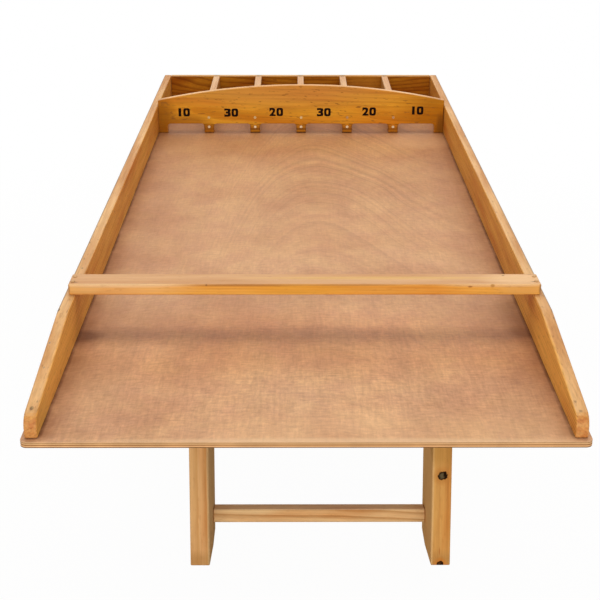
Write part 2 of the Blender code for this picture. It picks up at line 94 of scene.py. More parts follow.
def pineMaterial(name, wood):
    material, tree, shader = newMaterial(name)
    place = addNode(tree, coordinates, {}, "Object")
    normal = addNode(tree, coordinates, {}, "Normal")
    inLog = addNode(tree, mapping, {"Vector": place, "Location": wood["pith"], "Rotation": wood["turn"]},
                    vector_type="TEXTURE")
    drawnOut = addNode(tree, mapping, {"Vector": inLog, "Scale": (1, 1, pineGrain["waverAlong"])})
    waver = addNode(tree, noise, {
        "Vector": drawnOut, "Scale": 1 / pineGrain["waverSize"], "Detail": 2.0}, "Color")
    wavy = addNode(tree, vectors, {0: waver, 1: (wood["waver"],) * 3, 2: inLog}, operation="MULTIPLY_ADD")
    rings = addNode(tree, "ShaderNodeTexWave", {  # this scale makes each ring as wide as wood["ring"]
        "Vector": wavy, "Scale": pi / (10 * wood["ring"]),
        "Distortion": 0.6, "Detail": 2.0, "Detail Scale": 0.6},
        "Fac", wave_type="RINGS", rings_direction="Z", wave_profile="SAW")
    fibreSpace = addNode(tree, mapping, {"Vector": wavy, "Scale": (1, 1, pineGrain["fibresAlong"])})
    fibres = addNode(tree, noise, {
        "Vector": fibreSpace, "Scale": 1 / wood["fibre"], "Detail": 4.0, "Roughness": 0.62})
    tone = addNode(tree, noise, {"Vector": drawnOut, "Scale": 1 / pineGrain["toneSize"], "Detail": 3.0})
    fleckSpace = addNode(tree, mapping, {"Vector": wavy, "Scale": (1, 1, pineGrain["flecksAlong"])})
    flecks = addNode(tree, noise, {"Vector": fleckSpace, "Scale": 1 / wood["fleckSize"], "Detail": 2.0})
    blotch = addNode(tree, noise, {"Vector": place, "Scale": 1 / pineGrain["blotchSize"], "Detail": 3.0})

    # bands of the rings, in stained patches
    bands = addNode(tree, ramp, {"Fac": rings}, stops=[
        (0.0, wood["light"]), (0.45, wood["light"]), (0.86, wood["dark"]), (0.97, wood["dark"]),
        (1.0, wood["light"])])
    colour = addNode(tree, mix, {0: wood["bands"], 6: linear(wood["light"]), 7: bands}, 2, **blend)
    stained = addNode(tree, mix, {0: 1.0, 6: colour, 7: linear(wood["stain"])}, 2, **multiply)
    patches = addNode(tree, ramp, {"Fac": tone}, stops=[(0.42, 0.0), (0.72, 0.8)])
    colour = addNode(tree, mix, {0: patches, 6: colour, 7: stained}, 2, **blend)
    if "top" in wood:  # upper faces in a tone of their own: rubbed and bleached, and on the stretchers painted shade
        upward = addNode(tree, splitter, {"Vector": normal}, "Z")
        onTop = addNode(tree, mapRange, {
            "Value": upward, "From Min": 0.62, "From Max": 0.92, "To Max": wood["topAmount"]})
        topTone = addNode(tree, ramp, {"Fac": tone}, stops=[(0.38, wood["top"]), (0.62, wood["topWarm"])])
        colour = addNode(tree, mix, {0: onTop, 6: colour, 7: topTone}, 2, **blend)
    for shade in wood.get("shades", ()):
        colour = markOn(tree, place, colour, shade)

    # end grain, fibres and flecks
    alongLog = addNode(tree, mapping, {"Vector": normal, "Rotation": wood["turn"]}, vector_type="TEXTURE")
    endwise = addNode(tree, splitter, {"Vector": alongLog}, "Z")
    endwise = addNode(tree, maths, {0: endwise}, operation="ABSOLUTE")
    onEnd = addNode(tree, mapRange, {"Value": endwise, "From Min": 0.40, "From Max": 0.80, "To Max": 0.85})
    endTone = addNode(tree, ramp, {"Fac": blotch}, stops=[(0.36, wood["endDark"]), (0.62, wood["end"])])
    colour = addNode(tree, mix, {0: onEnd, 6: colour, 7: endTone}, 2, **blend)
    grain = addNode(tree, ramp, {"Fac": fibres}, stops=[(0.25, wood["fibreLow"]), (0.5, 0.97), (0.75, 1.07)])
    colour = addNode(tree, mix, {0: 1.0, 6: colour, 7: grain}, 2, **multiply)
    spots = addNode(tree, mapRange, {
        "Value": flecks, "From Min": 0.61, "From Max": 0.72, "To Max": wood["flecks"]})
    colour = addNode(tree, mix, {0: spots, 6: colour, 7: linear(wood["fleck"])}, 2, **blend)

    # edges, where a rounded normal would leave the face
    rounded = addNode(tree, "ShaderNodeBevel", {"Radius": wood["wearReach"]}, samples=6)
    sharp = addNode(tree, "ShaderNodeNewGeometry", {}, "Normal")
    flatness = addNode(tree, vectors, {0: rounded, 1: sharp}, "Value", operation="DOT_PRODUCT")
    worn = addNode(tree, mapRange, {
        "Value": flatness, "From Min": 0.97, "From Max": 0.80, "To Max": wood["wear"]})
    edgeTone = addNode(tree, ramp, {"Fac": blotch}, stops=[(0.50, wood["edgeDirt"]), (0.66, wood["worn"])])
    for mark in wood.get("edgeMarks", ()):
        edgeTone = markOn(tree, place, edgeTone, mark)
    colour = addNode(tree, mix, {0: worn, 6: colour, 7: edgeTone}, 2, **blend)
    for knot in wood.get("knots", ()):
        colour = knotOn(tree, place, colour, knot)
    for mark in wood.get("marks", ()):
        colour = markOn(tree, place, colour, mark)
    tree.links.new(colour, shader.inputs["Base Color"])

    sheen = addNode(tree, mapRange, {
        "Value": fibres, "From Min": 0.3, "From Max": 0.7,
        "To Min": wood["rough"] + 0.1, "To Max": wood["rough"] - 0.05})
    tree.links.new(sheen, shader.inputs["Roughness"])
    relief = addNode(tree, maths, {0: rings, 1: 0.4, 2: fibres}, operation="MULTIPLY_ADD")
    relief = addNode(tree, "ShaderNodeBump", {
        "Height": relief, "Strength": 0.25, "Distance": pineGrain["relief"]})
    tree.links.new(relief, shader.inputs["Normal"])
    shader.inputs["IOR"].default_value = 1.5
    shader.inputs["Specular IOR Level"].default_value = wood["gloss"]
    return material


def knotOn(tree, place, colour, knot):  # a dead knot: warm halo, ragged black bark, grey heart with a crack
    radius = knot["radius"]
    offset = addNode(tree, vectors, {0: place, 1: knot["at"]}, operation="SUBTRACT")
    ragged = addNode(tree, noise, {"Vector": place, "Scale": 1 / (6 * mm), "Detail": 3.0}, "Color")
    bent = addNode(tree, vectors, {0: ragged, 1: (0.9 * radius,) * 3, 2: offset}, operation="MULTIPLY_ADD")
    bent = addNode(tree, vectors, {0: bent, 1: (0.45 * radius,) * 3}, operation="SUBTRACT")
    reach = addNode(tree, vectors, {0: bent}, "Value", operation="LENGTH")
    edge = addNode(tree, maths, {0: reach, 1: radius}, operation="DIVIDE")
    halo = addNode(tree, mapRange, {"Value": edge, "From Min": 2.4, "From Max": 1.0, "To Max": 0.75})
    colour = addNode(tree, mix, {0: halo, 6: colour, 7: linear(knot["halo"])}, 2, **blend)
    inside = addNode(tree, mapRange, {"Value": edge, "From Min": 1.1, "From Max": 0.9})
    heart = addNode(tree, mapRange, {"Value": edge, "From Min": 0.85, "From Max": 0.45})
    across = addNode(tree, splitter, {"Vector": bent}, "X")
    across = addNode(tree, maths, {0: across, 1: 0.25 * radius}, operation="SUBTRACT")
    crack = addNode(tree, mapRange, {"Value": across, "From Min": 0.15 * radius, "From Max": -0.15 * radius})
    heart = addNode(tree, maths, {0: heart, 1: crack}, operation="MULTIPLY")
    body = addNode(tree, mix, {0: heart, 6: linear(knot["bark"]), 7: linear(knot["heart"])}, 2, **blend)
    return addNode(tree, mix, {0: inside, 6: colour, 7: body}, 2, **blend)


def markOn(tree, place, colour, mark):  # a dent, hole, split, stain, faded patch, painted shade or painted light, as a soft ellipsoid
    at, size, tint, share = (*mark, 0.85)[:4]  # place, half sizes in mm, colour and, where given, strength
    offset = addNode(tree, vectors, {0: place, 1: at}, operation="SUBTRACT")
    scaled = addNode(tree, vectors, {0: offset, 1: [length * mm for length in size]}, operation="DIVIDE")
    reach = addNode(tree, vectors, {0: scaled}, "Value", operation="LENGTH")
    inside = addNode(tree, mapRange, {"Value": reach, "From Min": 1.0, "From Max": 0.45, "To Max": share})
    return addNode(tree, mix, {0: inside, 6: colour, 7: linear(tint)}, 2, **blend)


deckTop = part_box("playing_board")[1].z
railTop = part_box("left_rail")[1].z
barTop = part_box("crossbar")[1].z
gateLow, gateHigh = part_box("gate_board")
gateFront = gateLow.y
postHalf = 9 * mm  # half a divider; a post of the gate board stands at its middle

print("pine: rails, crossbar, back board, dividers")
railWood = {
    "light": "#DFA246", "dark": "#B36E26", "stain": "#DCAC76", "fleck": "#7A4317", "worn": "#DFA862",
    "edgeDirt": "#9C774C", "end": "#CC9152", "endDark": "#B9713A",
    "top": "#DAAB73", "topWarm": "#BC8348", "topAmount": 0.9,
    "bands": 0.85, "fibreLow": 0.74, "flecks": 0.40, "wear": 0.75, "rough": 0.45, "gloss": 0.18,
    "ring": 4.5 * mm, "fleckSize": 4.0 * mm, "waver": 14 * mm, "wearReach": 4 * mm,
    "fibre": 3.2 * mm,  # real fibres are under 1 mm; drawn coarse enough to show from a step away
}
railMarks = {  # an old screw hole in the left nose, and dents
    "left_rail": [
        ((-0.3880, -0.966, deckTop + 0.035), (3.4, 6.0, 5), "#54391A"),
        ((-0.3874, -0.965, deckTop + 0.035), (1.5, 2.6, 5), "#A98A54"),
        ((-0.3830, -0.950, deckTop + 0.037), (1.6, 4.0, 4), "#9A7748"),
        ((-0.3868, -0.525, railTop), (2.4, 4.0, 3), "#86683F"),
        ((-0.3905, -0.481, railTop), (2.2, 5.0, 3), "#8A6A42", 0.7),
        ((-0.3945, -0.397, railTop), (2.0, 7.0, 3), "#7D6240", 0.75),
        ((-0.3935, -0.312, railTop), (1.8, 5.0, 3), "#96754A", 0.6),
        ((-0.3962, -0.154, railTop), (2.2, 7.0, 3), "#4E4030"),
        ((-0.3950, -0.704, railTop), (2.6, 7.0, 4), "#5F4A30"),
        ((-0.3925, -0.800, railTop - 0.013), (1.8, 4.0, 4), "#7F776B"),
        ((-0.3890, -0.866, railTop - 0.021), (1.6, 4.0, 4), "#8A7C66")],
    "right_rail": [
        ((0.3835, -0.951, deckTop + 0.036), (2.4, 4.5, 4), "#8A6A45"),
        ((0.3865, -0.973, deckTop + 0.034), (3.2, 3.5, 4), "#97754A"),
        ((0.3920, -0.984, deckTop + 0.028), (5.0, 2.5, 3), "#B06F34"),
        ((0.3945, -0.730, railTop - 0.003), (2.0, 5.0, 4), "#8B6B44"),
        ((0.3955, -0.483, railTop), (1.8, 6.0, 3), "#8A7358", 0.7),
        ((0.3940, -0.099, railTop), (2.0, 8.0, 3), "#8F7C60", 0.6),
        ((0.3950, 0.068, railTop), (2.2, 9.0, 3), "#5E5040"),
        ((0.3940, 0.330, railTop), (2.4, 9.0, 4), "#7D6A50")],
}
railShades = {  # inner faces: an olive patch on the left nose, and painted light on their front stretches
    "left_rail": [
        ((-0.378, -0.950, deckTop + 0.012), (6, 60, 30), "#CFA24C", 0.5),
        ((-0.378, -0.800, deckTop + 0.025), (6, 190, 60), "#EEAC50", 0.5)],
    "right_rail": [((0.378, -0.800, deckTop + 0.030), (6, 190, 60), "#F0B050", 0.6)],
}
for side, pithX in (("left_rail", -0.345), ("right_rail", 0.352)):
    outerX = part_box(side)[side == "right_rail"].x
    railMarks[side].append(((outerX, 0, railTop), (3.4, 4000, 3.4), "#77644E", 0.7))  # dirty outer edge
    dress(side, pineMaterial("varnishedPine_" + side, dict(
        railWood, pith=(pithX, 0.2, deckTop - 0.020), turn=(radians(90.8), radians(0.4), 0),
        marks=railMarks[side], shades=railShades[side],
        edgeMarks=[((outerX, 0, deckTop), (9, 3000, 400), "#6B5642", 1.0)])))  # and grey where rubbed

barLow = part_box("crossbar")[0]
barFront = barLow.y
crossbarWood = dict(
    railWood, light="#E4A648", dark="#CB8428", stain="#E8B878", worn="#D9A463",
    top="#CB9B6D", topWarm="#C28F5E", flecks=0.15, bands=0.25, fibreLow=0.86,
    pith=(0.1, barFront - 0.02, barLow.z - 0.06), turn=(0, radians(90.5), radians(0.3)),
    marks=[
        ((-0.3800, barFront + 0.0100, barTop), (7.5, 1.6, 4), "#4A3018"),  # cracks at the nails, and dents
        ((0.3795, barFront + 0.0120, barTop), (7.0, 1.5, 4), "#5E4526"),
        ((0.3320, barFront + 0.0390, barTop), (2.8, 3.4, 3), "#8F6E40"),
        ((0.3780, barFront + 0.0445, barTop), (6.0, 2.0, 3), "#8A5A30"),
        ((0.3090, barFront, barTop - 0.002), (4.5, 3.0, 4), "#B07A36"),
        ((-0.1000, barFront, barTop - 0.001), (125, 3, 3.0), "#96602A", 0.7),  # dirty front edge
        ((0.0700, barFront, barTop - 0.001), (110, 3, 2.6), "#A06A30", 0.6),
        ((-0.1620, barFront, barTop - 0.001), (2.4, 3, 2.0), "#6A4622", 0.75),
        ((0.2720, barFront, barTop - 0.004), (5.0, 3, 2.0), "#8A4E1C", 0.7),
        ((-0.3895, barFront, barTop - 0.008), (4, 4, 12), "#A06A34"),  # dirty ends of the face
        ((0.3895, barFront, barTop - 0.008), (5, 4, 14), "#8F6236")],
    shades=[
        ((-0.3700, barFront, barTop - 0.008), (40, 6, 14), "#DCA258", 0.7),  # varnish faded towards the ends
        ((0.3600, barFront, barTop - 0.008), (55, 6, 14), "#DBA45A", 0.6),
        ((0.3550, barFront + 0.024, barTop), (75, 30, 5), "#E8BC88", 0.7),
        ((0.1200, barFront + 0.028, barTop), (260, 9, 5), "#D8AA5C", 0.55),
        ((-0.3000, barFront, barTop - 0.008), (140, 5, 14), "#E6B572", 0.6),
        ((-0.3050, barFront, barTop - 0.001), (150, 5, 6), "#E6BE8C", 0.75),  # front edge rubbed pale
        ((0.3150, barFront, barTop - 0.001), (110, 5, 5), "#E2B884", 0.6),
        ((-0.0100, barFront, barTop - 0.008), (110, 5, 14), "#D8942C", 0.6)])
dress("crossbar", pineMaterial("varnishedPine_crossbar", crossbarWood))

backLow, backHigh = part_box("back_board")
# flat sawn: the pith slants through the board above its middle, so the bands sag like a smile
backWood = dict(
    railWood, light="#B87418", dark="#864709", stain="#C08440", top="#D9AC74", topWarm="#C99759",
    bands=0.65, fibreLow=0.78, gloss=0.06, ring=11 * mm, waver=32 * mm,
    pith=(0.03, backLow.y, deckTop + 0.13), turn=(0, radians(90), radians(11)),
    shades=[((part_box("divider_5")[0].x - 0.05, backLow.y, railTop - 0.02), (75, 12, 60), "#C8842A", 0.5)],
    marks=[((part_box(f"divider_{number}")[0].x + postHalf, backHigh.y - 0.004, railTop), (11, 6, 3), "#7C6A56")
           for number in range(1, 6)])
dress("back_board", pineMaterial("varnishedPine_back_board", backWood))

for number in range(1, 6):  # each divider is cut from another place in the log
    low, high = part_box(f"divider_{number}")
    dress(f"divider_{number}", pineMaterial(f"varnishedPine_divider_{number}", dict(
        railWood, light="#C08944", dark="#9C6228", top="#DDB284", topWarm="#CF9C6C",
        pith=(low.x - 0.03 + 0.013 * number, 0.7, deckTop - 0.03 * (number % 3)),
        turn=(radians(89 + 0.6 * number), radians(0.5 * number), 0),
        marks=[((low.x + 0.008, high.y - 0.002, railTop), (8, 7, 4), "#8C7A66")])))

print("pine: gate board")
gateWood = dict(
    railWood, light="#DE9C2A", dark="#C27A16", stain="#EBBC6A", fleck="#8E5A20",
    top="#EDC79C", topWarm="#E4B582", bands=0.5, fibreLow=0.76, flecks=0.85, rough=0.38, gloss=0.1, wear=0.25,
    ring=9 * mm, fibre=4.0 * mm, fleckSize=4.4 * mm, waver=26 * mm,
    pith=(0.0, gateFront - 0.055, deckTop + 0.03), turn=(0, radians(92.5), radians(1.2)),
    shades=[
        ((-0.05, gateFront, gateHigh.z), (430, 30, 72), "#CB8E44", 0.6),  # paler towards the arched edge
        ((gateHigh.x, gateFront, deckTop + 0.05), (140, 30, 95), "#AA6604", 0.7),  # painted shade: darker ends by the rails
        ((gateLow.x, gateFront, deckTop + 0.04), (55, 30, 75), "#925406", 0.75),
        # a dark stain low on the left
        ((-0.300, gateFront, deckTop + 0.028), (70, 30, 26), "#A2600E", 0.7),
        # painted shade on the first post and along the foot
        ((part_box("divider_1")[0].x + postHalf, gateFront, deckTop + 0.010), (22, 30, 20), "#7E4406", 0.6),
        ((0.0, gateFront, deckTop + 0.008), (900, 12, 18), "#A5600A", 0.8)],
    marks=[
        ((gateHigh.x, gateFront, deckTop + 0.045), (3.2, 12, 46), "#4A2508"),  # dark joint at the right rail
        # painted shade beside the joint
        ((gateHigh.x - 0.008, gateFront, deckTop + 0.020), (14, 10, 40), "#8A5412"),
        ((0.0, gateFront, deckTop + 0.0105), (400, 8, 3.2), "#70400F", 0.75),  # painted shadow: a dark band under the lower nails, and a darker line at the posts' foot
        ((0.0, gateFront, deckTop + 0.001), (400, 8, 3.2), "#4E2707")])
postDarkening = [  # painted shade along the top of each post, and darker sides: across, height above the bed, half sizes in mm
    (-0.010, 0.0225, (8, 8, 2.2)), (0.010, 0.0225, (8, 8, 2.2)),
    (-0.013, 0.0120, (4, 8, 14)), (0.013, 0.0120, (4, 8, 14))]
for number in range(1, 6):
    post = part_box(f"divider_{number}")[0].x + postHalf
    for across, up, size in postDarkening:
        gateWood["marks"].append(((post + across, gateFront, deckTop + up), size, "#74420C", 0.55))
dress("gate_board", pineMaterial("goldenPine_gate_board", gateWood))

print("pine: legs")
legWood = dict(  # bare and matt, with no varnish to shine at a slant
    railWood, light="#D1A46E", dark="#B27F43", stain="#DDAE7C", fleck="#8A5420", worn="#DDB27A",
    bands=0.5, fibreLow=0.84, flecks=0.12, rough=0.5, gloss=0.0, ring=6.5 * mm, fibre=3.0 * mm, waver=10 * mm)
for key in ("top", "topWarm"):  # no bleached upper faces
    legWood.pop(key)
legTones = {
    "foot": "#A67740", "footRise": 26.5 * mm,  # dirty lower corner of the leaning plank
    "left": "#C2A373", "right": "#E4B97C",  # inner faces: painted shade, greyer, on the left planks; painted light, paler, on the right ones
    "underBed": "#B78845", "underBedAt": (-0.545, 0.245),  # painted shadow of the bed on the top of the right front plank, at this y and z
    "resin": "#A65F2E",  # a streak above its lower knot
}
rightKnots = [
    {"at": (0.2580, -0.556, 0.1945), "radius": 8.8 * mm,
     "halo": "#B97B3B", "bark": "#21140A", "heart": "#5E5138"},
    {"at": (0.2562, -0.598, 0.0275), "radius": 6.4 * mm,
     "halo": "#C7762A", "bark": "#2B1708", "heart": "#4A2C14"}]
for place, tilt in (("front", radians(-14)), ("rear", radians(14))):
    for side, light, dark in (("left", "#DBAC74", "#BC8748"), ("right", "#D8A25A", "#BF8747")):
        low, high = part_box(f"{place}_{side}_leg")
        middle = (low + high) / 2
        footY = low.y if place == "front" else high.y
        innerX = high.x if side == "left" else low.x
        wood = dict(legWood, light=light, dark=dark, pith=(middle.x - 0.022, middle.y + 0.02, middle.z),
                    turn=(tilt, radians(0.8), 0))
        wood["shades"] = [
            ((middle.x, footY, low.z + legTones["footRise"]), (60, 60, 30), legTones["foot"], 0.5),
            ((innerX, middle.y, middle.z), (5, 400, 700), legTones[side], 0.85)]
        if (place, side) == ("front", "right"):
            bedShadowOnPlank = (middle.x, *legTones["underBedAt"])
            wood["shades"].append((bedShadowOnPlank, (60, 60, 40), legTones["underBed"], 0.6))
            wood["knots"] = rightKnots
            wood["marks"] = [((0.2545, low.y, 0.052), (1.6, 40, 9), legTones["resin"], 0.6)]
        dress(f"{place}_{side}_leg", pineMaterial(f"sawnPine_{place}_{side}_leg", wood))
    low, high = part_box(f"{place}_stretcher")
    wood = dict(legWood, light="#EBC690", dark="#C2925A", bands=0.75, ring=13 * mm, waver=16 * mm,
                # painted shade on the stretcher's top, under the bed
                top="#E6CCA4", topWarm="#D8B694", topAmount=0.85,
                pith=(0, low.y - 0.02, low.z - 0.03), turn=(0, radians(92.2), radians(1.4)))
    dress(f"{place}_stretcher", pineMaterial(f"sawnPine_{place}_stretcher", wood))
    low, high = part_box(f"{place}_bearer")
    wood = dict(legWood, light="#D8AC70", pith=(0, low.y - 0.01, low.z - 0.05), turn=(0, radians(90.7), 0))
    dress(f"{place}_bearer", pineMaterial(f"barePine_{place}_bearer", wood))
    for side in ("left", "right"):
        low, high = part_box(f"{place}_{side}_pivot_block")
        wood = dict(legWood, light="#D2A262", pith=(low.x - 0.03, low.y, low.z - 0.02),
                    turn=(radians(90), 0, 0))
        dress(f"{place}_{side}_pivot_block", pineMaterial(f"barePine_{place}_{side}_pivot_block", wood))

# Plywood: rotary-cut face veneer with arched contour figure and short fibres across the board, soiled along
# the rails by play and darkened there with painted shade, and with its plies showing on the sawn edges
plyBoard = {
    "base": "#C99B72", "rosy": "#B9875F", "mottleSize": 0.25, "pink": "#FFFAFB", "straw": "#FFFFFA",
    "farTint": "#EAE1CE", "compartmentShadeTint": "#F0E2C8",  # far end, and painted shade in the compartments behind the gates
    "barShadowTint": "#FDF6EC", "barShadowMiddle": -0.68, "barShadowReach": (0.06, 0.17),  # painted shadow of the crossbar on the bed: a little darker and warmer, its middle and reach
    "dirtAndShade": "#875736", "dirtAndShadeReach": 0.11, "crack": "#6A4120", "crackShare": 0.55,  # dirt and painted shade at the rails and the gates' foot; crack: a dark line at the rails' foot
    "gateFootShade": 0.35, "gateReach": (2 * mm, 11 * mm),  # painted shade: a dark line on the bed at the foot of the gates
    "veneer": "#E0B686", "plyLight": "#D4A06C", "plyPale": "#D2A674", "plyDark": "#84501F",
    "underside": "#6E4A28", "relief": 0.3 * mm,
    "archX": 0.035, "archBend": 13.5, "archSkew": -27.0,  # crown of the arches, their bend and their lean
    "figure": 34 * mm, "drift": 0.16, "driftSize": 0.30,  # their spacing, and how far and widely they drift
    "archShows": [  # where the arches show: along an axis, from a place and share to a place and share
        ("X", (-0.22, 0.3), (0.08, 1.0)), ("Y", (-0.5, 0.45), (0.1, 1.0)), ("X", (0.18, 1.0), (0.34, 0.3))],
    "wander": 24 * mm, "wanderSize": 130 * mm, "sweepShare": 0.011,  # fibres hardly follow the arches
    "played": ((-0.80, 1.0), (-0.45, 0.6)),  # the near end shows its fibres more
    # layers of fibres, swept with the veneer or straight, and drawn out where their stretch is below 1;
    # real fibres are finer, and these are as coarse as they need to be to show from a step away
    "layers": {
        "streaks": {"swept": True, "stretch": (0.30, 1, 1), "size": 6 * mm, "detail": 5.0, "rough": 0.7,
                    "shades": [(0.26, 0.88), (0.5, 1.0), (0.74, 1.09)]},
        "dashes": {"swept": True, "stretch": (0.12, 1, 1), "size": 6 * mm, "detail": 3.0, "rough": 0.5,
                   "shades": [(0.30, 0.90), (0.42, 1.0), (0.62, 1.0), (0.74, 1.08)]},
        "speckle": {"swept": True, "stretch": (0.55, 1, 1), "size": 7 * mm, "detail": 4.0, "rough": 0.75,
                    "shades": [(0.3, 0.845), (0.5, 1.0), (0.7, 1.14)]},
        "clouds": {"swept": False, "stretch": (1, 1, 1), "size": 60 * mm, "detail": 4.0, "rough": 0.6,
                   "shades": [(0.32, 0.93), (0.5, 1.0), (0.68, 1.06)]},
        "sheets": {"swept": False, "stretch": (1, 0.12, 1), "size": 32 * mm, "detail": 3.0, "rough": 0.5,
                   "shades": [(0.35, 0.94), (0.65, 1.05)]},
        "threads": {"swept": False, "stretch": (1, 0.12, 1), "size": 5 * mm, "detail": 3.0, "rough": 0.7,
                    "shades": [(0.32, 0.885), (0.5, 1.0), (0.68, 1.11)]}},
    "patches": [
        ((-0.368, -0.650, deckTop), (40, 28, 9), "#572A04", 0.5),  # by the crossbar: its painted shadow where it meets the rails, and dirt
        ((0.370, -0.635, deckTop), (38, 30, 9), "#66360C", 0.4),
        ((-0.360, -0.590, deckTop), (190, 110, 9), "#875736", 0.32),
        ((0.360, -0.570, deckTop), (190, 105, 9), "#875736", 0.28),
        ((0.375, -0.565, deckTop), (60, 80, 9), "#6E4524", 0.40),
        ((-0.365, -0.790, deckTop), (75, 110, 9), "#875736", 0.28),
        ((-0.370, gateFront, deckTop), (110, 260, 9), "#875736", 0.34),  # and in the far left corner
        ((0.300, gateFront - 0.075, deckTop), (120, 90, 9), "#E0B286", 0.30),  # cleaner at the far right
        ((0.14, -0.99, deckTop), (430, 105, 9), "#DDB07C", 0.22),  # veneer rubbed pale along the front
        ((0.04, -1.0, deckTop), (430, 15, 9), "#DDB68A", 0.5)],
}


